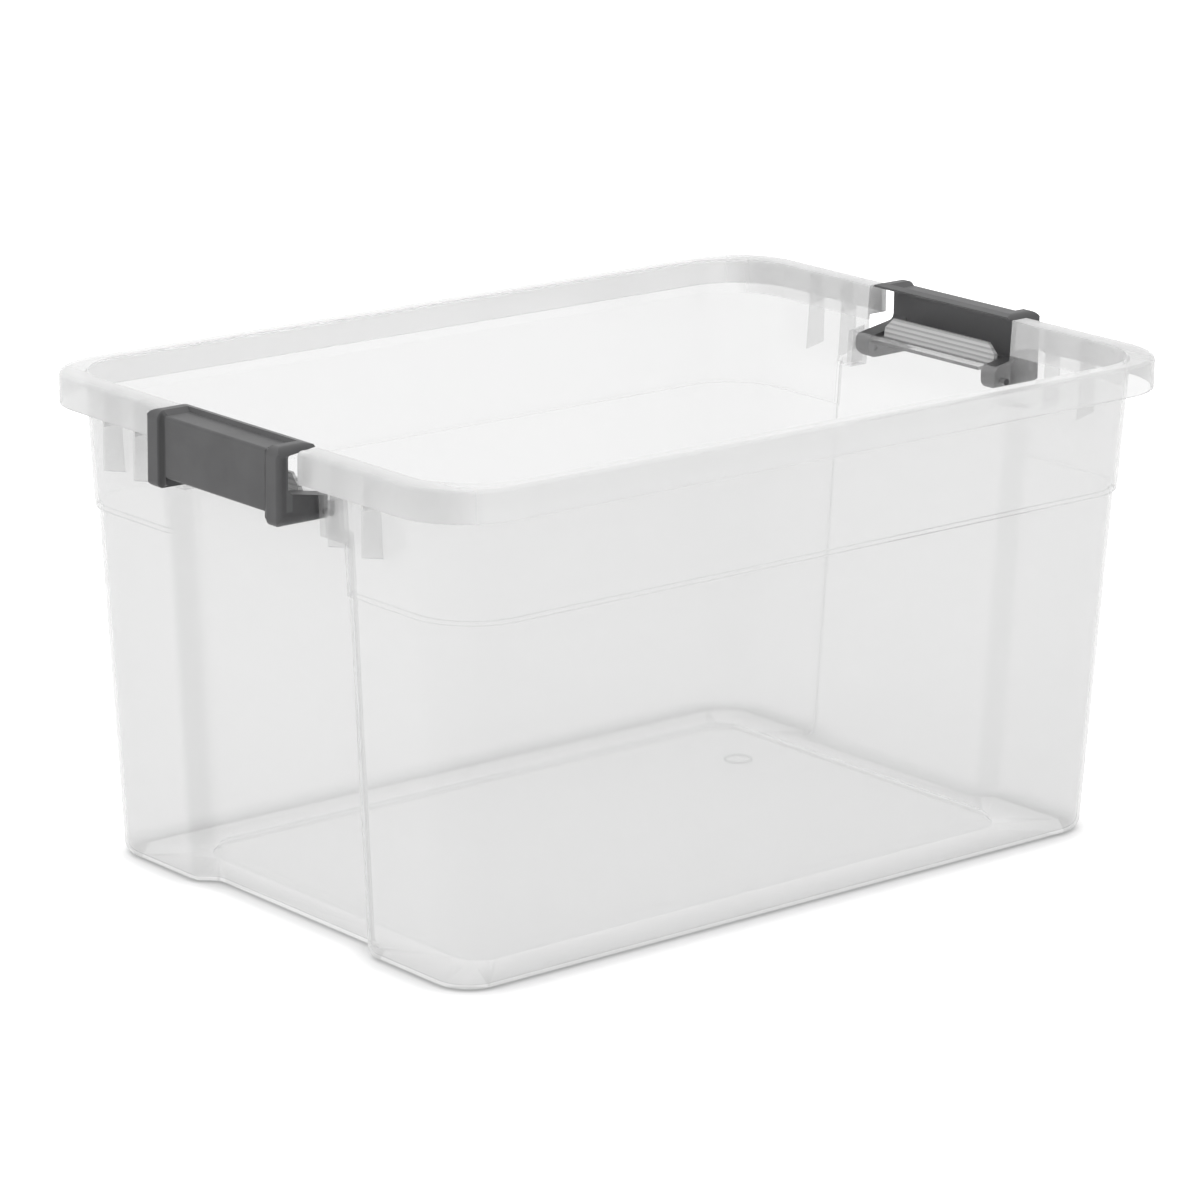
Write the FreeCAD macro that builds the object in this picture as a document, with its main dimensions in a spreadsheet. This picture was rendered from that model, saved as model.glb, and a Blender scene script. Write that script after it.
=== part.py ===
"""A clear storage tote with a swinging latch on each end.

Millimetres, +Z up. X runs along the tote and Y across it, and the origin lies in the middle of the base.
The tote is one thin moulding: tapered walls with a ledge, a rim with a skirt, and a recess, a hinge pocket
and a rim notch in each end. Each latch swings out and down on two pins that run in its pocket's sides.
"""
import FreeCAD, Part
import Sketcher
import math
import os
import re

Vector = FreeCAD.Vector

DIMENSIONS = (
    ("base_length", 530, "length of the base, along X"),
    ("base_width", 361, "width of the base, along Y"),
    ("base_corner", 27, "radius of the base's corners seen from above"),
    ("base_round", 8, "radius of the edge between base and walls"),
    ("tote_height", 316, "height of the rim above the ground"),
    ("wall_draft", 3.5, "lean of every wall, in degrees"),
    ("wall_thick", 2.2, "thickness of the walls"),
    ("floor_thick", 2.6, "thickness of the floor"),
    ("ledge_drop", 86, "depth of the ledge below the rim"),
    ("ledge_step", 2.3, "how far the wall steps out at the ledge"),
    ("end_overhang", 13.4, "reach of the rim past the end walls"),
    ("side_overhang", 8.9, "reach of the rim past the long walls"),
    ("skirt_height", 20, "height of the rim's skirt"),
    ("skirt_thick", 2, "thickness of the rim's skirt"),
    ("flange_thick", 2.4, "thickness of the rim's flat top"),
    ("rim_round", 3, "radius along the outer edge of the rim"),
    ("panel_inset", 42, "distance of the raised floor panel from the edge of the base"),
    ("panel_corner", 20, "radius of the floor panel's corners"),
    ("panel_rise", 4, "height of the raised floor panel"),
    ("panel_lean", 45, "lean of the floor panel's sides, in degrees"),
    ("recess_width", 160, "width of the flat panel in each end wall"),
    ("recess_depth", 12, "depth of the recess in each end wall"),
    ("recess_flare", 10, "how far each side of the recess leans out"),
    ("recess_drop", 54, "depth of the recess's upper end below the rim"),
    ("recess_round", 6, "radius in the recess's inner corners"),
    ("column_round", 9, "radius on the recess's outer edges"),
    ("latch_width", 134, "width of a latch, along Y"),
    ("side_gap", 1.5, "gap between a latch and each side of its pocket"),
    ("sill_drop", 29.5, "depth of the panel's upper edge below the rim"),
    ("sill_rise", 4, "rise of the pocket's side edge from panel to wall"),
    ("bar_gap", 1.5, "gap between the sill bar and each cheek of the latch"),
    ("bar_drop", 19, "depth of the sill bar's top below the rim"),
    ("bar_foot", 32, "depth of the sill bar's shelf below the rim"),
    ("bar_reach", 17, "reach of the sill bar from the panel"),
    ("bar_thick", 4, "thickness of the sill bar's lip at its foot"),
    ("bar_lean", 2, "how far the sill bar's inner face leans out"),
    ("bar_slant", 7, "size of the cut on the sill bar's upper corners"),
    ("rib_thick", 2, "thickness of the gusset ribs"),
    ("rib_margin", 8, "distance of the first rib from the recess"),
    ("rib_pitch", 32, "distance between the ribs of a pair"),
    ("rib_drop", 51.5, "depth of a rib's outer foot below the rim"),
    ("rib_slant", 3.5, "how much lower a rib's foot is at the wall"),
    ("rib_inset", 0.5, "how far a rib stays inside the skirt's outer face"),
    ("pivot_drop", 39.8, "depth of the hinge axis below the rim"),
    ("pivot_gap", 7.7, "distance of the hinge axis from the recess panel"),
    ("pin_diameter", 4.4, "diameter of the hinge pins"),
    ("pin_clearance", 0.08, "gap all round a pin in its pocket hole"),
    ("pin_bite", 11, "length of a pin inside its cheek"),
    ("pin_proud", 0.7, "reach of a pin past its boss"),
    ("pin_chamfer", 0.5, "bevel on a pin's free end"),
    ("boss_diameter", 7.2, "diameter of the boss round a pin hole"),
    ("boss_height", 1.2, "height of the boss round a pin hole"),
    ("plate_gap", 5.7, "gap between the rim and the latch's plate"),
    ("plate_thick", 4.5, "thickness of the latch's plate"),
    ("plate_drop", 39, "depth of the plate's lower edge below the rim"),
    ("leg_height", 6, "height of the plate's foot"),
    ("leg_length", 10, "reach of the plate's foot towards the tote"),
    ("hook_drop", 2.6, "depth of the hook's underside below the rim, at the plate"),
    ("hook_tilt", 2.4, "rise of the hook's underside to its tip"),
    ("hook_length", 21.3, "reach of the hook from the plate"),
    ("hook_thick", 2.4, "thickness of the hook behind its ridge"),
    ("tip_thick", 1.4, "thickness of the hook's tip"),
    ("ridge_width", 7, "width of the ridge along the hook's tip"),
    ("ridge_slope", 1.5, "run of the ridge's outer slope"),
    ("plate_round", 2, "radius along the edges of the plate"),
    ("lip_width", 17, "width of the raised lip at each end of a latch"),
    ("lip_flank", 5, "width of the slope on a lip's inner side"),
    ("lip_top_round", 6, "radius along a lip's upper edge"),
    ("lip_foot_round", 3.5, "radius along a lip's lower edge"),
    ("lip_rise", 2.6, "height of the lips and the ridge above the plate and hook"),
    ("lip_drop", 45.5, "depth of a lip's lower edge below the rim"),
    ("lip_round", 3, "radius on the ends of a latch, seen from above"),
    ("end_round", 7.5, "radius on the ends of a latch, seen from the front"),
    ("cheek_thick", 13, "thickness of a latch's cheek"),
    ("cheek_drop", 25.3, "depth of a cheek's top below the rim, at the plate"),
    ("cheek_slope", 6, "fall of a cheek's top to its nose"),
    ("cheek_fillet", 4.5, "radius between a cheek's top and the plate"),
    ("cheek_nose", 6.2, "radius of a cheek's nose about the hinge axis"),
    ("cheek_round", 5, "radius on the upper corner of a cheek's nose"),
    ("overrun", 6, "how far every cut reaches past what it cuts"),
    ("overlap", 1, "how far joined shapes reach into each other"),
)

doc = FreeCAD.newDocument("storage_tote")
sizes = doc.addObject("Spreadsheet::Sheet", "Sizes")
for row, (alias, size, meaning) in enumerate(DIMENSIONS, start=1):
    sizes.set(f"A{row}", meaning)
    sizes.set(f"B{row}", str(size))
    sizes.setAlias(f"B{row}", alias)
doc.recompute()

ALIASES = {alias for alias, size, meaning in DIMENSIONS}
ENDS = {"left": -1, "right": 1}
SIDES = {"front": -1, "rear": 1}
TOUCH_SHARE = 0.01
BAR_STEPS = 4
TREAD_SHARE = 0.35


def rise(height):
    """How far a leaning wall has moved outwards at a height above the base."""
    return f"(({height}) * tan(wall_draft * 1deg))"


def panel_x(height):
    """Distance of a recess panel's outer face from the middle, at a height above the base."""
    return f"(base_length / 2 - recess_depth + {rise(height)})"


# places that several pieces share, as expressions of the sheet's names
LEDGE = "(tote_height - ledge_drop)"
TOP_STEP = f"({rise('tote_height')} + ledge_step)"
RIM_X = f"(base_length / 2 + {TOP_STEP} + end_overhang)"
RIM_Y = f"(base_width / 2 + {TOP_STEP} + side_overhang)"
RIM_CORNER = f"(base_corner + {TOP_STEP})"
RECESS_TOP = "(tote_height - recess_drop)"
POCKET_Y = "(latch_width / 2 + side_gap)"
SILL = "(tote_height - sill_drop)"
PIVOT_Z = "(tote_height - pivot_drop)"
PIVOT_X = f"({panel_x(PIVOT_Z)} + pivot_gap)"
PLATE_IN = f"({RIM_X} + plate_gap)"
PLATE_OUT = f"({PLATE_IN} + plate_thick)"
FLANK = "sqrt(recess_depth * recess_depth + recess_flare * recess_flare)"


def bound(text):
    """The same expression as another object reads it, with each name looked up in the sheet."""
    return re.sub(r"[a-z]+(_[a-z]+)*", lambda m: "Sizes." + m[0] if m[0] in ALIASES else m[0], text)


def number(text):
    """The value that an expression of the sheet's names has now."""
    return float(sizes.evalExpression(text))


def new_body(name):
    return doc.addObject("PartDesign::Body", name)


def new_sketch(body, name, role, offset="0"):
    """A sketch on one of the body's origin planes, moved along the plane's normal by offset."""
    sketch = body.newObject("Sketcher::SketchObject", name)
    plane = next(p for p in body.Origin.OriginFeatures if p.Role == role)
    sketch.AttachmentSupport = [(plane, "")]
    sketch.MapMode = "FlatFace"
    sketch.setExpression("AttachmentOffset.Base.z", bound(offset))
    return sketch


def constrain(sketch, kind, *where, size=None):
    """One constraint, tied to an expression where it has a size."""
    if size is None:
        sketch.addConstraint(Sketcher.Constraint(kind, *where))
        return
    index = sketch.addConstraint(Sketcher.Constraint(kind, *where, number(size)))
    sketch.setExpression(f"Constraints[{index}]", bound(size))


def draw_polygon(sketch, corners):
    """A closed outline with straight sides. Each corner is two expressions, and a third where it is round."""
    points = [Vector(number(corner[0]), number(corner[1]), 0) for corner in corners]
    count = len(points)
    starts, ends, rounds = list(points), list(points), {}
    for i, corner in enumerate(corners):
        if len(corner) > 2:
            back, ahead = points[i - 1] - points[i], points[(i + 1) % count] - points[i]
            rounds[i] = round_corner(points[i], back.normalize(), ahead.normalize(), number(corner[2]))
            ends[i], starts[i] = rounds[i][:2]
    for i in range(count):
        sketch.addGeometry(Part.LineSegment(starts[i], ends[(i + 1) % count]))
    for i, (x, y, *radius) in enumerate(corners):
        before = (i - 1) % count
        if radius:
            arc = sketch.addGeometry(rounds[i][2])
            first, last = (1, 2) if rounds[i][3] else (2, 1)
            constrain(sketch, "Tangent", before, 2, arc, first)
            constrain(sketch, "Tangent", arc, last, i, 1)
            constrain(sketch, "Radius", arc, size=radius[0])
            item = sketch.addGeometry(Part.Point(points[i]), True)
            constrain(sketch, "PointOnObject", item, 1, before)
            constrain(sketch, "PointOnObject", item, 1, i)
        else:
            item = i
            constrain(sketch, "Coincident", before, 2, i, 1)
        constrain(sketch, "DistanceX", -1, 1, item, 1, size=x)
        constrain(sketch, "DistanceY", -1, 1, item, 1, size=y)


def round_corner(corner, back, ahead, radius):
    """The two ends of the arc that rounds a corner, the arc, and whether it turns to the left."""
    half = back.getAngle(ahead) / 2
    first, last = (corner + side * (radius / math.tan(half)) for side in (back, ahead))
    centre = corner + (back + ahead).normalize() * (radius / math.sin(half))
    to_left = ahead.cross(back).z > 0
    spoke = (first if to_left else last) - centre
    begin = math.atan2(spoke.y, spoke.x)
    circle = Part.Circle(centre, Vector(0, 0, 1), radius)
    return first, last, Part.ArcOfCircle(circle, begin, begin + math.pi - 2 * half), to_left


def draw_rounded(sketch, half_x, half_y, corner):
    """A rectangle with round corners about the origin, from its half sizes and corner radius."""
    a, b, r = number(half_x), number(half_y), number(corner)
    first = sketch.GeometryCount
    quarter = Part.Circle().LastParameter / 4
    turns = ((1, -1), (1, 1), (-1, 1), (-1, -1))
    starts = ((r - a, -b), (a, r - b), (a - r, b), (-a, b - r))
    ends = ((a - r, -b), (a, b - r), (r - a, b), (-a, r - b))
    for i, (across, along) in enumerate(turns):
        centre = Vector(across * (a - r), along * (b - r), 0)
        sketch.addGeometry(Part.LineSegment(Vector(*starts[i], 0), Vector(*ends[i], 0)))
        circle = Part.Circle(centre, Vector(0, 0, 1), r)
        sketch.addGeometry(Part.ArcOfCircle(circle, (i - 1) * quarter, i * quarter))
    lines = [first + 2 * i for i in range(4)]
    arcs = [line + 1 for line in lines]
    for i in range(4):
        constrain(sketch, "Tangent", lines[i], 2, arcs[i], 1)
        constrain(sketch, "Tangent", arcs[i], 2, lines[(i + 1) % 4], 1)
        constrain(sketch, ("Horizontal", "Vertical")[i % 2], lines[i])
    for arc in arcs[1:]:
        constrain(sketch, "Equal", arcs[0], arc)
    constrain(sketch, "Symmetric", arcs[0], 3, arcs[2], 3, -1, 1)
    constrain(sketch, "Radius", arcs[0], size=corner)
    constrain(sketch, "DistanceX", lines[3], 1, lines[1], 1, size=f"2 * ({half_x})")
    constrain(sketch, "DistanceY", lines[0], 1, lines[2], 1, size=f"2 * ({half_y})")


def turned(corners, way):
    """The same corners for the left or right end: their first value takes the end's sign."""
    return [(f"{way} * ({first})", *rest) for first, *rest in corners]


def add_pad(body, name, sketch, length, kind="Pad", lean="0", reversed_way=False, both_ways=False):
    """A pad or pocket of a sketch. It leans outwards by an angle, and both ways means half to each side."""
    feature = body.newObject(f"PartDesign::{kind}", name)
    feature.Profile = sketch
    feature.setExpression("Length", bound(length))
    feature.setExpression("TaperAngle", bound(lean))
    feature.Reversed = reversed_way
    if both_ways:
        feature.SideType = "Symmetric"
    return feature


def add_fillet(body, name, radius, wanted):
    """Rounds those edges of the body that the test named wanted picks."""
    doc.recompute()
    base = body.Tip
    picked = [f"Edge{i}" for i, edge in enumerate(base.Shape.Edges, start=1) if wanted(edge)]
    if not picked:
        raise RuntimeError(f"{name} found no edge to round")
    feature = body.newObject("PartDesign::Fillet", name)
    feature.Base = (base, picked)
    feature.setExpression("Radius", bound(radius))
    return feature


def near(value, target):
    """True if two places are the same, but for rounding."""
    return abs(value - target) < TOUCH_SHARE * number("overlap")


def level_at(edge, height):
    """True if an edge lies flat at a height."""
    return all(near(vertex.Z, height) for vertex in edge.Vertexes)


def make_tub(name, inset, floor):
    """A solid tub of the tote's outside, or of its inside where inset is the wall and floor the floor."""
    body = new_body(name)
    ledge = f"({LEDGE} + {inset})"
    recess_top = f"({RECESS_TOP} + {inset})"
    # sizes of the recess, a trapezium seen from above whose sides keep the wall's thickness
    widen = f"(({inset}) * ({FLANK} - recess_flare) / recess_depth)"
    mouth = "(recess_depth + ledge_step + overrun)"
    inner_y = f"(recess_width / 2 + {widen})"
    outer_y = f"({inner_y} + recess_flare * {mouth} / recess_depth)"
    edge_y = f"({inner_y} + recess_flare)"

    def add_stage(stage, bottom, top, grow):
        """One height of the leaning wall, as a solid with round corners."""
        outline = new_sketch(body, f"{name}_{stage}_outline", "XY_Plane", bottom)
        half_x, half_y = f"base_length / 2 + {grow}", f"base_width / 2 + {grow}"
        draw_rounded(outline, half_x, half_y, f"base_corner + {grow}")
        add_pad(body, f"{name}_{stage}", outline, f"{top} - {bottom}", lean="wall_draft")

    def cut_recess(stage, end, bottom, top):
        """One height of a recess, sliding outwards with the wall as it climbs."""
        sections = []
        for level, height in (("foot", bottom), ("head", top)):
            section = new_sketch(body, f"{name}_{end}_{stage}_recess_{level}", "XY_Plane", height)
            panel, corner = f"({panel_x(height)} - {inset})", f"recess_round + {inset}"
            outline = ((f"{panel} + {mouth}", f"-{outer_y}"), (f"{panel} + {mouth}", outer_y),
                       (panel, inner_y, corner), (panel, f"-{inner_y}", corner))
            draw_polygon(section, turned(outline, ENDS[end]))
            sections.append(section)
        recess = body.newObject("PartDesign::SubtractiveLoft", f"{name}_{end}_{stage}_recess")
        recess.Profile = sections[0]
        recess.Sections = sections[1:]
        recess.Ruled = True

    def climbs_at(edge, place_y):
        """True if an edge climbs with the wall, at a distance from the middle."""
        points = [vertex.Point for vertex in edge.Vertexes]
        climb = max(p.z for p in points) - min(p.z for p in points)
        return climb > number("overrun") and all(near(abs(p.y), number(place_y)) for p in points)

    add_stage("lower", floor, ledge, f"({rise(floor)} - {inset})")
    for end in ENDS:
        cut_recess("lower", end, f"({floor} - overrun)", ledge)
    add_fillet(body, f"{name}_column_edges", f"column_round - {inset}", lambda e: climbs_at(e, edge_y))
    add_fillet(body, f"{name}_base_edge", f"base_round - {inset}", lambda e: level_at(e, number(floor)))
    add_stage("upper", ledge, f"(tote_height + {inset})", f"({rise(ledge)} + ledge_step - {inset})")
    for end in ENDS:
        cut_recess("upper", end, ledge, recess_top)
    # the floor panel: a shallow hollow in the underside, with leaning sides
    panel = new_sketch(body, f"{name}_floor_panel_outline", "XY_Plane", floor)
    draw_rounded(panel, "base_length / 2 - panel_inset", "base_width / 2 - panel_inset", "panel_corner")
    add_pad(body, f"{name}_floor_panel", panel, "panel_rise", "Pocket", "-panel_lean", reversed_way=True)
    # the hinge pocket: it goes on from the recess, narrower, up to the sill or out through the rim
    for end, way in ENDS.items():
        pocket = new_sketch(body, f"{name}_{end}_pocket_outline", "XZ_Plane")
        start = f"({RECESS_TOP} - overrun)"
        if inset == "0":
            head_in = head_out = "(tote_height + overrun)"
        else:
            head_in, head_out = SILL, f"({SILL} + sill_rise)"
        reach = f"({panel_x('tote_height')} + {mouth})"
        corners = ((f"{panel_x(start)} - {inset}", start), (reach, start),
                   (reach, head_out), (f"{panel_x(head_in)} - {inset}", head_in))
        draw_polygon(pocket, turned(corners, way))
        add_pad(body, f"{name}_{end}_pocket", pocket, f"2 * ({POCKET_Y} + {inset})", "Pocket", both_ways=True)
    return body


def make_rim():
    """The rim: a flat top with a skirt, a notch for each latch, and the ribs under its ends."""
    body = new_body("rim")
    top = new_sketch(body, "rim_top_outline", "XY_Plane", "tote_height - flange_thick")
    draw_rounded(top, RIM_X, RIM_Y, RIM_CORNER)
    add_pad(body, "rim_top", top, "flange_thick")
    skirt = new_sketch(body, "skirt_outline", "XY_Plane", "tote_height - skirt_height")
    draw_rounded(skirt, RIM_X, RIM_Y, RIM_CORNER)
    inside = [f"({size} - skirt_thick)" for size in (RIM_X, RIM_Y, RIM_CORNER)]
    draw_rounded(skirt, *inside)
    add_pad(body, "skirt", skirt, "skirt_height - flange_thick")

    add_fillet(body, "rim_edge", "rim_round", lambda e: level_at(e, number("tote_height")))
    for end, way in ENDS.items():
        notch = new_sketch(body, f"{end}_notch_outline", "XY_Plane", "tote_height + overrun")
        near_x, far_x = panel_x("tote_height"), f"({RIM_X} + overrun)"
        corners = ((near_x, f"-{POCKET_Y}"), (far_x, f"-{POCKET_Y}"), (far_x, POCKET_Y), (near_x, POCKET_Y))
        draw_polygon(notch, turned(corners, way))
        add_pad(body, f"{end}_notch", notch, "skirt_height + 2 * overrun", "Pocket")
        add_ribs(body, end, way)
    return body


def add_ribs(body, end, way):
    """Upright ribs between wall and skirt: a pair on each side, and one that closes the rim's cut end."""
    first = "(recess_width / 2 + recess_flare + rib_margin)"
    web, web_foot = f"({POCKET_Y} + rib_thick / 2)", "(tote_height - skirt_height)"
    foot = "(tote_height - rib_drop)"
    ribs = (("web", web, web_foot, "0"), ("rib_inner", first, foot, "rib_slant"),
            ("rib_outer", f"({first} + rib_pitch)", foot, "rib_slant"))
    under = "(tote_height - flange_thick / 2)"
    outside = f"({RIM_X} - rib_inset)"
    for kind, place, low, slant in ribs:
        inner_low = f"({low} - {slant})"
        wall = [f"(base_length / 2 + {rise(z)} + ledge_step - overlap)" for z in (under, inner_low)]
        corners = ((outside, low), (outside, under), (wall[0], under), (wall[1], inner_low))
        for side, across in SIDES.items():
            outline = new_sketch(body, f"{end}_{side}_{kind}_outline", "XZ_Plane", f"{-across} * {place}")
            draw_polygon(outline, turned(corners, way))
            add_pad(body, f"{end}_{side}_{kind}", outline, "rib_thick", both_ways=True)


def make_bar(end, way):
    """The sill bar: a shelf out of the panel's upper edge, with a ridged lip between the latch's cheeks."""
    body = new_body(f"{end}_sill_bar")
    root, front = f"({panel_x(SILL)} - wall_thick)", f"({panel_x(SILL)} + bar_reach)"
    shelf, top = "(tote_height - bar_foot)", "(tote_height - bar_drop)"
    under = f"({shelf} - wall_thick)"
    half = "(latch_width / 2 - cheek_thick - bar_gap)"
    # the lip's inner face leans outwards, with a ridge at the foot of each step
    rung = f"(({top} - {shelf}) / {BAR_STEPS})"
    heights = [f"({shelf} + {rung} * {i})" for i in range(BAR_STEPS + 1)]
    faces = [f"({front} - bar_thick + bar_lean * {i} / {BAR_STEPS})" for i in range(BAR_STEPS + 1)]
    profile = [(root, under), (front, under), (front, top), (faces[-1], top)]
    for i in reversed(range(BAR_STEPS)):
        profile += [(faces[i + 1], f"({heights[i]} + {rung} * {TREAD_SHARE})"), (faces[i], heights[i])]
    outline = new_sketch(body, f"{end}_bar_outline", "XZ_Plane")
    draw_polygon(outline, turned([*profile, (root, shelf)], way))
    add_pad(body, f"{end}_bar", outline, f"2 * {half}", both_ways=True)
    # the lip's upper corners, cut slantwise at both ends
    for side, across in SIDES.items():
        corner = new_sketch(body, f"{end}_{side}_bar_corner", "YZ_Plane")
        corners = ((f"{half} - bar_slant", top), (f"{half} - bar_slant", f"{top} + overrun"),
                   (f"{half} + overrun", f"{top} + overrun"), (f"{half} + overrun", f"{top} - bar_slant"),
                   (half, f"{top} - bar_slant"))
        draw_polygon(corner, turned(corners, across))
        add_pad(body, f"{end}_{side}_bar_cut", corner, f"2 * ({front} + overrun)", "Pocket", both_ways=True)
    return body


def outside_corner(x, y, sign_x, sign_y, radius):
    """What lies outside a latch's round corner at x and y: the outline of the cut that rounds it."""
    back_x, back_y = f"({x} - 2 * {radius})", f"({y} - 2 * {radius})"
    far_x, far_y = f"({x} + overrun)", f"({y} + overrun)"
    corners = ((back_x, far_y), (far_x, far_y), (far_x, back_y), (x, back_y), (x, y, radius), (back_x, y))
    return [(f"{sign_x} * {a}", f"{sign_y} * {b}", *rest) for a, b, *rest in corners]


def make_latch(end, way):
    """A latch: a plate with a hook and a foot, a raised lip at each end, and two cheeks that hinge."""
    body = new_body(f"{end}_latch")
    tip = f"({PLATE_IN} - hook_length)"
    under, tip_under = "(tote_height - hook_drop)", "(tote_height - hook_drop + hook_tilt)"
    strip, frame = f"({under} + hook_thick)", f"({under} + hook_thick + lip_rise)"
    ridge = f"({tip} + ridge_width)"
    plate_low, lip_low = "(tote_height - plate_drop)", "(tote_height - lip_drop)"
    lip_out = f"({PLATE_OUT} + lip_rise)"
    leg_in, leg_top = f"({PLATE_IN} - leg_length)", f"({plate_low} + leg_height)"
    nose = f"({PIVOT_X} - cheek_nose)"
    cheek_top, cheek_low = "(tote_height - cheek_drop)", f"({PIVOT_Z} - cheek_nose)"
    # outlines seen along the hinge axis
    hook = [(f"{ridge} - ridge_slope", frame), (tip, f"{tip_under} + tip_thick"), (tip, tip_under)]
    plate = [(PLATE_OUT, plate_low, "plate_round"), (PLATE_OUT, strip, "plate_round"), (ridge, strip), *hook,
             (PLATE_IN, under, "plate_round"), (PLATE_IN, leg_top, "plate_round"), (leg_in, leg_top),
             (leg_in, plate_low)]
    lip = [(lip_out, lip_low, "lip_foot_round"), (lip_out, frame, "lip_top_round"), *hook,
           (PLATE_IN, under), (PLATE_IN, lip_low)]
    cheek = [(PLATE_OUT, lip_low), (PLATE_OUT, f"{cheek_top} + 2 * cheek_fillet"),
             (PLATE_IN, f"{cheek_top} + 2 * cheek_fillet"), (PLATE_IN, cheek_top, "cheek_fillet"),
             (nose, f"{cheek_top} - cheek_slope", "cheek_round"), (nose, cheek_low, "cheek_nose")]
    flank = [(lip_out, lip_low, "lip_foot_round"), (lip_out, frame, "lip_top_round"), (PLATE_IN, frame),
             (PLATE_IN, lip_low)]
    half, lip_flat = "(latch_width / 2)", "(lip_width - lip_flank)"
    sunk = f"({strip} - overlap / 2)"
    slope_far = f"({PLATE_OUT} - plate_round)"
    slope_length = f"({slope_far} - {ridge} + ridge_slope)"
    slope_start = f"({ridge} - ridge_slope)" if way > 0 else f"-{slope_far}"

    def add_section(name, corners, offset, length, **options):
        """A stretch of the latch along the hinge axis, from its outline."""
        outline = new_sketch(body, f"{end}_{name}_outline", "XZ_Plane", offset)
        draw_polygon(outline, turned(corners, way))
        add_pad(body, f"{end}_{name}", outline, length, **options)

    add_section("plate", plate, "0", "latch_width", both_ways=True)
    for side, across in SIDES.items():
        inwards = {"reversed_way": across < 0}
        add_section(f"{side}_lip", lip, f"{-across} * {half}", lip_flat, **inwards)
        add_section(f"{side}_cheek", cheek, f"{-across} * {half}", "cheek_thick", **inwards)
        # the slope on the lip's inner side, over the plate and then over the hook
        lip_end = f"({half} - {lip_flat})"
        add_section(f"{side}_flank", flank, f"{-across} * {lip_end}", "lip_flank",
                    lean="-atan(lip_rise / lip_flank)", **inwards)
        outline = new_sketch(body, f"{end}_{side}_slope_outline", "YZ_Plane", slope_start)
        lip_start = f"{half} - lip_width"
        slope = ((lip_end, frame), (lip_end, sunk), (lip_start, sunk), (lip_start, strip))
        draw_polygon(outline, turned(slope, across))
        add_pad(body, f"{end}_{side}_slope", outline, slope_length)

    # each end rounded, along its top and bottom and up its outer side
    for side, across in SIDES.items():
        foot = outside_corner(half, f"-{cheek_low}", across, -1, "end_round")
        rounds = (("top", "YZ_Plane", outside_corner(half, frame, across, 1, "end_round"), lip_out),
                  ("foot", "YZ_Plane", foot, lip_out),
                  ("side", "XY_Plane", outside_corner(lip_out, half, way, across, "lip_round"), frame))
        for name, plane, corners, reach in rounds:
            outline = new_sketch(body, f"{end}_{side}_{name}_round_outline", plane)
            draw_polygon(outline, corners)
            length = f"2 * ({reach} + overrun)"
            add_pad(body, f"{end}_{side}_{name}_round", outline, length, "Pocket", both_ways=True)
    bore = new_sketch(body, f"{end}_bore_outline", "XZ_Plane")
    draw_circle(bore, way, "pin_diameter")
    add_pad(body, f"{end}_bore", bore, "latch_width + overrun", "Pocket", both_ways=True)
    return body


def draw_circle(sketch, way, diameter):
    """A circle about the hinge axis, on a plane across it."""
    centre = Vector(way * number(PIVOT_X), number(PIVOT_Z), 0)
    sketch.addGeometry(Part.Circle(centre, Vector(0, 0, 1), number(diameter) / 2))
    constrain(sketch, "DistanceX", -1, 1, 0, 3, size=f"{way} * {PIVOT_X}")
    constrain(sketch, "DistanceY", -1, 1, 0, 3, size=PIVOT_Z)
    constrain(sketch, "Diameter", 0, size=diameter)


def make_round(name, way, across, near_y, far_y, diameter, bevel=None):
    """A round bar along the hinge axis, from near_y out to far_y on one side, bevelled at its outer end."""
    body = new_body(name)
    outline = new_sketch(body, f"{name}_outline", "XZ_Plane", f"{-across} * {near_y}")
    draw_circle(outline, way, diameter)
    add_pad(body, f"{name}_bar", outline, f"{far_y} - {near_y}", reversed_way=across > 0)
    if bevel:
        doc.recompute()
        base = body.Tip
        far = number(far_y)
        ends = [f"Edge{i}" for i, edge in enumerate(base.Shape.Edges, start=1)
                if all(near(abs(vertex.Y), far) for vertex in edge.Vertexes)]
        chamfer = body.newObject("PartDesign::Chamfer", f"{name}_bevel")
        chamfer.Base = (base, ends)
        chamfer.setExpression("Size", bound(bevel))
    return body


def combine(kind, name, *parts):
    """A boolean of finished shapes: a cut of the second from the first, or a fusion of all."""
    result = doc.addObject(f"Part::{kind}", name)
    if kind == "Cut":
        result.Base, result.Tool = parts
    else:
        result.Shapes = list(parts)
    result.Refine = True
    return result


def check(objects):
    """Stops if any object failed to build, or a shape is missing or bad."""
    for item in doc.Objects:
        if {"Invalid", "Error"} & set(item.State):
            raise RuntimeError(f"{item.Name} failed: {item.State}")
    for item in objects:
        if item.Shape.isNull() or not item.Shape.isValid():
            raise RuntimeError(f"{item.Label} has a bad shape")


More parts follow.
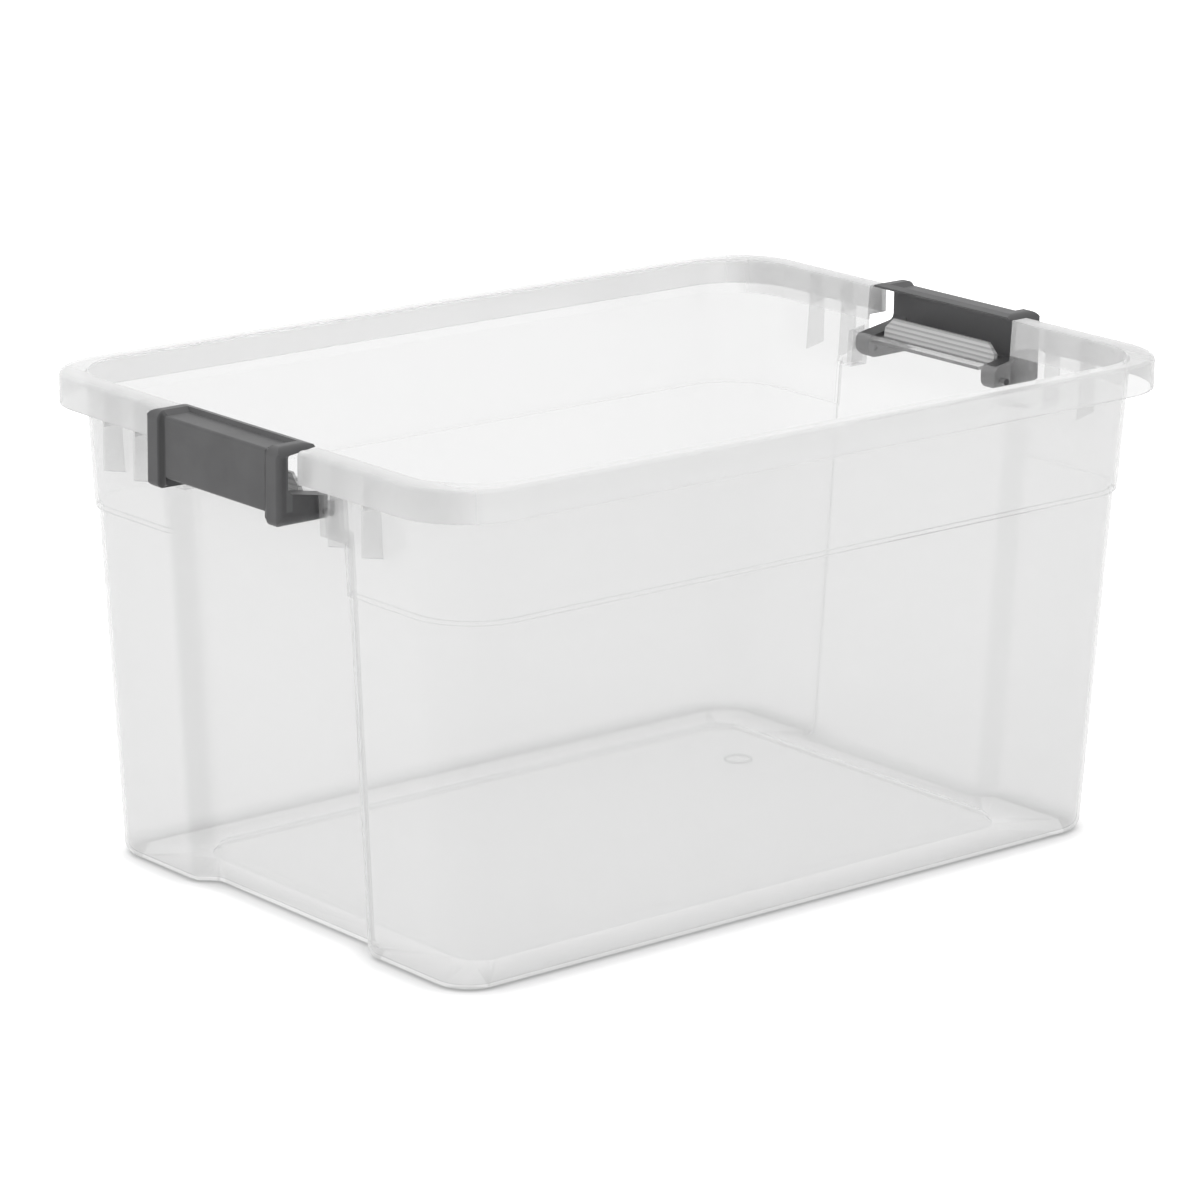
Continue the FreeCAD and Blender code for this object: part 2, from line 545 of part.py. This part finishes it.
# the tote: tub and rim hollowed out, then the sill bars and pin bosses, then the pin holes
shell = combine("MultiFuse", "shell", make_tub("outer", "0", "0"), make_rim())
hollow = combine("Cut", "hollow", shell, make_tub("inner", "wall_thick", "floor_thick"))
POCKET_SIDE = f"({POCKET_Y} + wall_thick)"
BOSS_FACE = f"({POCKET_SIDE} + boss_height)"
fixtures, holes, moving = [], [], []
for end, way in ENDS.items():
    fixtures.append(make_bar(end, way))
    moving.append(make_latch(end, way))
    for side, across in SIDES.items():
        root = f"({POCKET_SIDE} - overlap)"
        fixtures.append(make_round(f"{end}_{side}_boss", way, across, root, BOSS_FACE, "boss_diameter"))
        holes.append(make_round(f"{end}_{side}_hole", way, across, f"({POCKET_Y} - overlap)",
                                f"({BOSS_FACE} + overlap)", "(pin_diameter + 2 * pin_clearance)"))
        moving.append(make_round(f"{end}_latch_pin_{side}", way, across, "(latch_width / 2 - pin_bite)",
                                 f"({BOSS_FACE} + pin_proud)", "pin_diameter", "pin_chamfer"))
fitted = combine("MultiFuse", "fitted", hollow, *fixtures)
tote = combine("Cut", "tote_body", fitted, combine("MultiFuse", "pin_holes", *holes))

doc.recompute()
pieces = [tote, *moving]
check(pieces)
os.makedirs("parts", exist_ok=True)
for piece in pieces:
    piece.Shape.exportStep(f"parts/{piece.Label}.step")
    print(piece.Label, len(piece.Shape.Solids), round(piece.Shape.Volume))
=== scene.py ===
"""The finished look of the storage tote: clear plastic, dark latches, a white studio."""

import bpy
import numpy as np
from mathutils import Matrix, Vector


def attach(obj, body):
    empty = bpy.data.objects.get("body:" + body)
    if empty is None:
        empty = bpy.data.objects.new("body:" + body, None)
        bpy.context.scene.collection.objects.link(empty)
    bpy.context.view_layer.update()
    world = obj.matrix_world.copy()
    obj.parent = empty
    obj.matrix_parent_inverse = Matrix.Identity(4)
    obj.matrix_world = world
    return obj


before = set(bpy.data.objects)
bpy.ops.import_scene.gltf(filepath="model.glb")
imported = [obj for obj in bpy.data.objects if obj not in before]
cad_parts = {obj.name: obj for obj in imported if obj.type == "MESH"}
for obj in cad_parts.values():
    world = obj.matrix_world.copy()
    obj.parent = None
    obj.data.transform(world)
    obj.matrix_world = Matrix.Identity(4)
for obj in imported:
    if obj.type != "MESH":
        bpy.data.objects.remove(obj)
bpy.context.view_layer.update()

WHITE = (1, 1, 1, 1)
BLACK = (0, 0, 0, 1)

# camera: where the photograph was taken from, in metres, and the way it was held
CAMERA_PLACE = Vector((-2.0863, -2.4515, 1.0567))
CAMERA_RIGHT = Vector((0.7649, -0.6440, 0.0118))
CAMERA_UP = Vector((0.1643, 0.2127, 0.9632))
SENSOR_MM = 36.0
LENS_MM = 157.03
FAR_CLIP = 50.0

# floor: its half width in metres, its grey, and how white it is where it is seen
FLOOR_HALF = 6.0
FLOOR_GREY = 0.85
FLOOR_LIFT = 0.6
FLOOR_WHITE_SHARE = 0.8

# shadow where the base meets the floor, and the half sizes of the base, in metres
CONTACT_REACH = 0.022
CONTACT_DARK = 0.7
CONTACT_THROUGH = 0.45
CONTACT_BAND = 0.042
BASE_HALF_LENGTH = 0.265
BASE_HALF_WIDTH = 0.1805

# surround: its light, the part added overhead, and the dimmer part on one side
SKY_LIGHT = 1.1
SKY_TOP = 0.4
SKY_DIP = 0.75
SKY_DIM_SIDE = Vector((-0.15, -0.97, 0.2))
SKY_DIM_FROM = 0.1
SKY_DIM_TO = 0.95
SKY_SEEN = 1.0
LIGHT_BOUNCES = 32

# clear plastic of the tote
TOTE_TINT = (0.893, 0.893, 0.893, 1)
TOTE_CLEARNESS = 0.88
TOTE_COAT = 0.6
TOTE_COAT_ROUGH = 0.12
TOTE_IOR = 1.025
TOTE_ROUGH_LOW = 0.12
TOTE_ROUGH_HIGH = 0.2
FLOW_SCALE = 9.0
FLOW_DETAIL = 3.0
RIPPLE_SCALE = 30.0
RIPPLE_DETAIL = 2.0
RIPPLE_STRENGTH = 0.05
RIPPLE_DEPTH = 0.002

# edge of every zone that has a look of its own, in metres
ZONE_BLEND = 0.001

# milky rim with painted light in its lighter tint, milkier at the ends of the tote with painted shade in
# their darker tint, in metres
RIM_PAINTED_LIGHT_TINT = (0.95, 0.95, 0.95, 1)
RIM_CLEARNESS = 0.8
RIM_FOOT = 0.293
RIM_END_PAINTED_SHADE_TINT = (0.86, 0.86, 0.86, 1)
RIM_END_CLEARNESS = 0.55
RIM_END = 0.29
RIM_END_BLEND = 0.02

# frosted bar at the middle of each end, in metres
BAR_CLEARNESS = 0.4
BAR_SIDE = 0.0535
BAR_INNER = 0.283
BAR_OUTER = 0.2885
BAR_FOOT = 0.2845
BAR_TOP = 0.2985

# painted shadow in the grooves between the ridges of a bar: the bar's shelf and the ridges' pitch in metres,
# then shares of a pitch
GROOVE_PAINTED_SHADOW_TINT = (0.64, 0.64, 0.64, 1)
BAR_SHELF = 0.284
BAR_RUNG = 0.00325
GROOVE_FROM = 0.62
GROOVE_TO = 1.0
GROOVE_BLEND = 0.1

# painted shade on the sides of the recess in each end wall, in metres
FLANK_PAINTED_SHADE_TINT = (0.84, 0.84, 0.84, 1)
FLANK_INNER = 0.083
FLANK_OUTER = 0.089
FLANK_BLEND = 0.004
FLANK_END = 0.24
FLANK_FOOT = 0.006
FLANK_TOP = 0.262

# painted shade on the upper part of each end wall, under the rim, in metres
NECK_PAINTED_SHADE_TINT = (0.86, 0.86, 0.86, 1)
NECK_INNER = 0.265
NECK_OUTER = 0.2848
NECK_FOOT = 0.27
NECK_SIDE = 0.14
NECK_BLEND = 0.02

# mark that the mould's gate leaves on the floor panel, in metres
GATE_PLACE = (0.166, 0.06, 0.0066)
GATE_RADIUS = 0.009
GATE_THICK = 0.0008
GATE_STEPS = 48
GATE_SECTION = 10

# dark plastic of the latches
LATCH_DARK = (0.068, 0.068, 0.07, 1)
LATCH_LIGHT = (0.088, 0.088, 0.09, 1)
LATCH_ROUGH_LOW = 0.36
LATCH_ROUGH_HIGH = 0.48
LATCH_GRAIN = 1800.0

# painted light on the inner face of a latch's plate, which gets a lighter tint, in metres
INSIDE_PAINTED_LIGHT_TINT = (0.125, 0.125, 0.128, 1)
INSIDE_FROM = 0.303
INSIDE_TO = 0.3065
INSIDE_FOOT = 0.28
INSIDE_TOP = 0.313

# painted shade on the slopes beside a latch's lips, on its outer face, in metres
SLOPE_PAINTED_SHADE_TINT = (0.03, 0.03, 0.031, 1)
SLOPE_INNER = 0.051
SLOPE_OUTER = 0.0535
SLOPE_BLEND = 0.0015
SLOPE_FACE = 0.31

# plastic of the hinge pins
PIN_DARK = (0.045, 0.045, 0.048, 1)
PIN_LIGHT = (0.075, 0.075, 0.08, 1)
PIN_ROUGH_LOW = 0.3
PIN_ROUGH_HIGH = 0.4
PIN_GRAIN = 2500.0

# slow changes of shade and fine grain that both dark plastics have
SHADE_SCALE = 40.0
SHADE_DETAIL = 4.0
SHADE_FROM = 0.3
SHADE_TO = 0.7
GRAIN_DETAIL = 2.0
GRAIN_STRENGTH = 0.12
GRAIN_DEPTH = 0.0003

# places of a colour mix's sockets: the factor, the two colours and the result
MIX_INPUTS = (0, 6, 7)
MIX_RESULT = 2


def make_camera():
    """A long lens at the photograph's place."""
    right = CAMERA_RIGHT.normalized()
    up = (CAMERA_UP - right * CAMERA_UP.dot(right)).normalized()
    back = right.cross(up)
    data = bpy.data.cameras.new("camera")
    data.sensor_width = SENSOR_MM
    data.lens = LENS_MM
    data.clip_end = FAR_CLIP
    camera = bpy.data.objects.new("camera", data)
    turn = Matrix((right, up, back)).transposed()
    camera.matrix_world = Matrix.Translation(CAMERA_PLACE) @ turn.to_4x4()
    bpy.context.scene.collection.objects.link(camera)
    bpy.context.scene.camera = camera


class Nodes:
    """A node tree that is filled in with short calls."""

    def __init__(self, owner):
        owner.use_nodes = True
        self.tree = owner.node_tree
        self.tree.nodes.clear()

    def put(self, socket, value):
        """A socket linked to another one, or set to a plain value."""
        if isinstance(value, bpy.types.NodeSocket):
            self.tree.links.new(value, socket)
        else:
            socket.default_value = value

    def add(self, kind, settings=(), **sockets):
        """A node with its settings and sockets. Underscores in a socket's name are spaces."""
        node = self.tree.nodes.new(f"ShaderNode{kind}")
        for name, value in dict(settings).items():
            setattr(node, name, value)
        for name, value in sockets.items():
            self.put(node.inputs[name.replace("_", " ")], value)
        return node

    def mixed(self, factor, first, second):
        """A shader that goes from first to second as a factor goes from 0 to 1."""
        node = self.add("MixShader")
        for socket, value in zip(node.inputs, (factor, first, second)):
            self.put(socket, value)
        return node.outputs[0]

    def blend(self, factor, first, second):
        """A colour that goes from first to second as a factor goes from 0 to 1."""
        node = self.add("Mix", {"data_type": "RGBA"})
        for index, value in zip(MIX_INPUTS, (factor, first, second)):
            self.put(node.inputs[index], value)
        return node.outputs[MIX_RESULT]

    def maths(self, operation, first, second):
        """A number worked out from two others."""
        node = self.add("Math", {"operation": operation})
        for socket, value in zip(node.inputs, (first, second)):
            self.put(socket, value)
        return node.outputs[0]

    def times(self, first, *others):
        """The product of several numbers."""
        for other in others:
            first = self.maths("MULTIPLY", first, other)
        return first

    def ramp(self, value, low, high, first, second):
        """A colour that goes from first to second as a value goes from low to high."""
        node = self.add("ValToRGB", Fac=value)
        for stop, place, colour in zip(node.color_ramp.elements, (low, high), (first, second)):
            stop.position = place
            stop.color = colour
        return node.outputs["Color"]

    def spread(self, value, low, high):
        """A number that goes from low to high as a value goes from 0 to 1."""
        node = self.add("MapRange", Value=value, To_Min=low, To_Max=high)
        return node.outputs["Result"]

    def past(self, value, low, blend=ZONE_BLEND):
        """1 where a value is over low, 0 elsewhere, with a short blend."""
        node = self.add("MapRange", Value=value, From_Min=low - blend, From_Max=low)
        return node.outputs["Result"]

    def between(self, value, low, high, blend=ZONE_BLEND):
        """1 where a value lies between low and high, 0 elsewhere, with a short blend."""
        over = self.past(value, high + blend, blend)
        return self.times(self.past(value, low, blend), self.maths("SUBTRACT", 1.0, over))

    def own_place(self):
        """How far a point lies along, across and above the middle of the tote's base, in metres."""
        place = self.add("SeparateXYZ", Vector=self.add("TexCoord").outputs["Object"]).outputs
        along = self.maths("ABSOLUTE", place["X"], 0.0)
        across = self.maths("ABSOLUTE", place["Y"], 0.0)
        return along, across, place["Z"]

    def sight(self):
        """1 for rays from the camera, and 1 for rays that pass through or mirror off a piece."""
        path = self.add("LightPath").outputs
        sharp = self.maths("MAXIMUM", path["Is Transmission Ray"], path["Is Glossy Ray"])
        return path["Is Camera Ray"], sharp

    def noise(self, scale, detail):
        """Soft random spots on the piece's own coordinates, in spots per metre."""
        place = self.add("TexCoord").outputs["Object"]
        node = self.add("TexNoise", Vector=place, Scale=scale, Detail=detail)
        return node.outputs["Fac"]

    def bump(self, height, strength, distance):
        """A fine relief."""
        node = self.add("Bump", Height=height, Strength=strength, Distance=distance)
        return node.outputs["Normal"]

    def finish(self, shader, kind="OutputMaterial"):
        """The shader that the surface shows."""
        self.add(kind, Surface=shader)


def make_world():
    """A soft white surround: it lights the object at a plain level and is plain white where it is seen."""
    world = bpy.data.worlds.new("studio")
    bpy.context.scene.world = world
    nodes = Nodes(world)
    straight, sharp = nodes.sight()
    way = nodes.add("TexCoord").outputs["Generated"]
    facing = nodes.add("VectorMath", {"operation": "DOT_PRODUCT"})
    nodes.put(facing.inputs[0], way)
    nodes.put(facing.inputs[1], SKY_DIM_SIDE.normalized())
    dip = nodes.add("MapRange", {"interpolation_type": "SMOOTHSTEP"}, Value=facing.outputs["Value"],
                    From_Min=SKY_DIM_FROM, From_Max=SKY_DIM_TO, To_Min=SKY_LIGHT, To_Max=SKY_LIGHT - SKY_DIP)
    upward = nodes.maths("MAXIMUM", nodes.add("SeparateXYZ", Vector=way).outputs["Z"], 0.0)
    overhead = nodes.times(upward, upward, SKY_TOP)
    strength = nodes.maths("ADD", dip.outputs["Result"], overhead)
    light = nodes.add("Background", Color=WHITE, Strength=strength)
    seen = nodes.add("Background", Color=WHITE, Strength=SKY_SEEN)
    shown = nodes.maths("MAXIMUM", straight, sharp)
    nodes.finish(nodes.mixed(shown, light.outputs[0], seen.outputs[0]), "OutputWorld")


def base_band(nodes):
    """1 at the edge of the tote's base, falling to 0 a band's width inside it."""
    along, across, _ = nodes.own_place()
    inside = nodes.maths("MINIMUM", nodes.maths("SUBTRACT", BASE_HALF_LENGTH, along),
                         nodes.maths("SUBTRACT", BASE_HALF_WIDTH, across))
    band = nodes.add("MapRange", Value=inside, From_Max=CONTACT_BAND, To_Min=1.0, To_Max=0.0)
    return band.outputs["Result"]


def make_floor():
    """A wide pale floor that is white where it is seen, but for the object's shadow."""
    mesh = bpy.data.meshes.new("floor")
    half = FLOOR_HALF
    corners = [(-half, -half, 0), (half, -half, 0), (half, half, 0), (-half, half, 0)]
    mesh.from_pydata(corners, [], [(0, 1, 2, 3)])
    floor = bpy.data.objects.new("floor", mesh)
    bpy.context.scene.collection.objects.link(floor)
    material = bpy.data.materials.new("pale_floor")
    nodes = Nodes(material)
    straight, sharp = nodes.sight()
    shown = nodes.maths("MAXIMUM", straight, sharp)
    paint = nodes.add("BsdfDiffuse", Color=(FLOOR_GREY, FLOOR_GREY, FLOOR_GREY, 1))
    lift = nodes.add("Emission", Color=WHITE, Strength=nodes.times(shown, FLOOR_LIFT))
    lifted = nodes.add("AddShader")
    nodes.put(lifted.inputs[0], paint.outputs[0])
    nodes.put(lifted.inputs[1], lift.outputs[0])
    white = nodes.add("Emission", Color=WHITE, Strength=SKY_SEEN)
    through = nodes.times(sharp, FLOOR_WHITE_SHARE)
    open_floor = nodes.mixed(through, lifted.outputs[0], white.outputs[0])
    near = nodes.add("AmbientOcclusion", Distance=CONTACT_REACH).outputs["AO"]
    touch = nodes.maths("SUBTRACT", 1.0, near)
    through_edge = nodes.times(base_band(nodes), sharp, CONTACT_THROUGH)
    plain = nodes.times(straight, CONTACT_DARK)
    dark = nodes.add("Emission", Color=BLACK)
    seen_touch = nodes.times(touch, nodes.maths("ADD", plain, through_edge))
    nodes.finish(nodes.mixed(seen_touch, open_floor, dark.outputs[0]))
    mesh.materials.append(material)


def tote_zones(nodes):
    """Where the tote is special, each as 1 there and 0 elsewhere: its rim, milkier and with painted light,
    the rim's ends, milkier still and with painted shade, the frosted bars, the bars' grooves with painted
    shadow, the recess flanks with painted shade and the end walls' upper parts with painted shade."""
    along, across, height = nodes.own_place()
    bar = nodes.times(nodes.between(along, BAR_INNER, BAR_OUTER),
                      nodes.between(height, BAR_FOOT, BAR_TOP),
                      nodes.between(across, -BAR_SIDE, BAR_SIDE))
    # painted shade: the recess flanks get a darker tint
    flank_shade = nodes.times(nodes.between(across, FLANK_INNER, FLANK_OUTER, FLANK_BLEND),
                        nodes.past(along, FLANK_END),
                        nodes.between(height, FLANK_FOOT, FLANK_TOP))
    # rim: milkier plastic, and painted light in a lighter tint; its ends milkier still, with painted shade in
    # a darker tint
    rim_milk_and_light = nodes.past(height, RIM_FOOT)
    rim_end_milk_and_shade = nodes.times(rim_milk_and_light, nodes.past(along, RIM_END, RIM_END_BLEND))
    # painted shade: the end walls' upper parts under the rim get a darker tint
    neck_shade = nodes.times(nodes.between(along, NECK_INNER, NECK_OUTER),
                       nodes.between(across, -NECK_SIDE, NECK_SIDE, NECK_BLEND),
                       nodes.past(height, NECK_FOOT, NECK_BLEND),
                       nodes.maths("SUBTRACT", 1.0, rim_milk_and_light))
    rung = nodes.maths("DIVIDE", nodes.maths("SUBTRACT", height, BAR_SHELF), BAR_RUNG)
    step = nodes.between(nodes.maths("FRACT", rung, 0.0), GROOVE_FROM, GROOVE_TO, GROOVE_BLEND)
    # painted shadow: the upper share of each ridge's pitch on the bar is darkened
    groove_shadow = nodes.times(bar, step)
    return rim_milk_and_light, rim_end_milk_and_shade, bar, groove_shadow, flank_shade, neck_shade


def clear_plastic():
    """Clear, faintly milky plastic: glossy outside, with slow flow marks and a fine ripple, and painted light
    and shade in the tote's zones.
    """
    material = bpy.data.materials.new("clear_tote_plastic")
    nodes = Nodes(material)
    flow = nodes.noise(FLOW_SCALE, FLOW_DETAIL)
    rough = nodes.spread(flow, TOTE_ROUGH_LOW, TOTE_ROUGH_HIGH)
    relief = nodes.bump(nodes.noise(RIPPLE_SCALE, RIPPLE_DETAIL), RIPPLE_STRENGTH, RIPPLE_DEPTH)
    rim_milk_and_light, rim_end_milk_and_shade, bar, groove_shadow, flank_shade, neck_shade = tote_zones(nodes)
    milky_rim = nodes.spread(rim_milk_and_light, TOTE_CLEARNESS, RIM_CLEARNESS)
    end_frost = nodes.times(rim_end_milk_and_shade, RIM_CLEARNESS - RIM_END_CLEARNESS)
    milky_rim = nodes.maths("SUBTRACT", milky_rim, end_frost)
    frost = nodes.times(bar, nodes.maths("SUBTRACT", milky_rim, BAR_CLEARNESS))
    clearness = nodes.maths("SUBTRACT", milky_rim, frost)
    # painted light: a lighter tint on the rim; painted shade: a darker tint on the rim's ends
    tint = nodes.blend(rim_milk_and_light, TOTE_TINT, RIM_PAINTED_LIGHT_TINT)
    tint = nodes.blend(rim_end_milk_and_shade, tint, RIM_END_PAINTED_SHADE_TINT)
    # painted shade on the recess flanks
    tint = nodes.blend(flank_shade, tint, FLANK_PAINTED_SHADE_TINT)
    # painted shade on the end walls' upper parts
    tint = nodes.blend(neck_shade, tint, NECK_PAINTED_SHADE_TINT)
    # painted shadow in the bar's grooves
    tint = nodes.blend(groove_shadow, tint, GROOVE_PAINTED_SHADOW_TINT)
    shader = nodes.add("BsdfPrincipled", Base_Color=tint, Roughness=rough, IOR=TOTE_IOR,
                       Transmission_Weight=clearness, Coat_Weight=TOTE_COAT,
                       Coat_Roughness=TOTE_COAT_ROUGH, Normal=relief)
    nodes.finish(shader.outputs[0])
    return material


def make_gate_mark(material):
    """A ring on the floor panel: each point lies on a small circle that is carried round a larger one."""
    around, section = np.meshgrid(np.linspace(0, 2 * np.pi, GATE_STEPS, endpoint=False),
                                  np.linspace(0, 2 * np.pi, GATE_SECTION, endpoint=False), indexing="ij")
    reach = GATE_RADIUS + GATE_THICK * np.cos(section)
    points = np.stack((GATE_PLACE[0] + reach * np.cos(around),
                       GATE_PLACE[1] + reach * np.sin(around),
                       GATE_PLACE[2] + GATE_THICK * np.sin(section)), axis=-1)
    row, column = np.meshgrid(np.arange(GATE_STEPS), np.arange(GATE_SECTION), indexing="ij")
    next_row = (row + 1) % GATE_STEPS
    next_column = (column + 1) % GATE_SECTION
    corners = ((row, column), (next_row, column), (next_row, next_column), (row, next_column))
    faces = np.stack([a * GATE_SECTION + b for a, b in corners], axis=-1)
    mesh = bpy.data.meshes.new("gate_mark")
    mesh.from_pydata(points.reshape(-1, 3).tolist(), [], faces.reshape(-1, 4).tolist())
    mesh.shade_smooth()
    mesh.materials.append(material)
    mark = bpy.data.objects.new("gate_mark", mesh)
    bpy.context.scene.collection.objects.link(mark)
    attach(mark, "tote")


def latch_zones(nodes):
    """Where a latch gets painted light or shade, each as 1 there and 0 elsewhere: painted light on its
    plate's inner face, and painted shade on the slopes beside its lips."""
    along, across, height = nodes.own_place()
    # painted light: a lighter tint on the inner face of the plate
    inside = nodes.times(nodes.between(along, INSIDE_FROM, INSIDE_TO),
                         nodes.between(height, INSIDE_FOOT, INSIDE_TOP))
    # painted shade: a dark tint on the slopes beside the lips
    slope_shade = nodes.times(nodes.between(across, SLOPE_INNER, SLOPE_OUTER, SLOPE_BLEND),
                        nodes.past(along, SLOPE_FACE))
    return inside, slope_shade


def grained_plastic(name, dark, light, rough_low, rough_high, grain, painted_light_and_shade_tints=()):
    """Satin moulded plastic: slow changes of shade, a fine grain and an uneven gloss, with painted light and
    shade in the zones given tints.
    """
    material = bpy.data.materials.new(name)
    nodes = Nodes(material)
    shade = nodes.noise(SHADE_SCALE, SHADE_DETAIL)
    fine = nodes.noise(grain, GRAIN_DETAIL)
    colour = nodes.ramp(shade, SHADE_FROM, SHADE_TO, dark, light)
    if painted_light_and_shade_tints:
        for painted_zone, tint in zip(latch_zones(nodes), painted_light_and_shade_tints):
            colour = nodes.blend(painted_zone, colour, tint)
    rough = nodes.spread(fine, rough_low, rough_high)
    relief = nodes.bump(fine, GRAIN_STRENGTH, GRAIN_DEPTH)
    shader = nodes.add("BsdfPrincipled", Base_Color=colour, Roughness=rough, Normal=relief)
    nodes.finish(shader.outputs[0])
    return material


make_camera()
make_world()
make_floor()
scene = bpy.context.scene
scene.view_settings.view_transform = "Standard"
for kind in ("max", "diffuse", "glossy", "transmission"):
    setattr(scene.cycles, f"{kind}_bounces", LIGHT_BOUNCES)

tote_plastic = clear_plastic()
# the latches get painted light on the plate's inner face and painted shade on the slopes beside the lips
latch_plastic = grained_plastic("latch_plastic", LATCH_DARK, LATCH_LIGHT,
                                LATCH_ROUGH_LOW, LATCH_ROUGH_HIGH, LATCH_GRAIN, (INSIDE_PAINTED_LIGHT_TINT, SLOPE_PAINTED_SHADE_TINT))
pin_plastic = grained_plastic("pin_plastic", PIN_DARK, PIN_LIGHT, PIN_ROUGH_LOW, PIN_ROUGH_HIGH, PIN_GRAIN)
for name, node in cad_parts.items():
    node.data.materials.clear()
    if "pin" in name:
        node.data.materials.append(pin_plastic)
    elif "latch" in name:
        node.data.materials.append(latch_plastic)
    else:
        node.data.materials.append(tote_plastic)

make_gate_mark(tote_plastic)
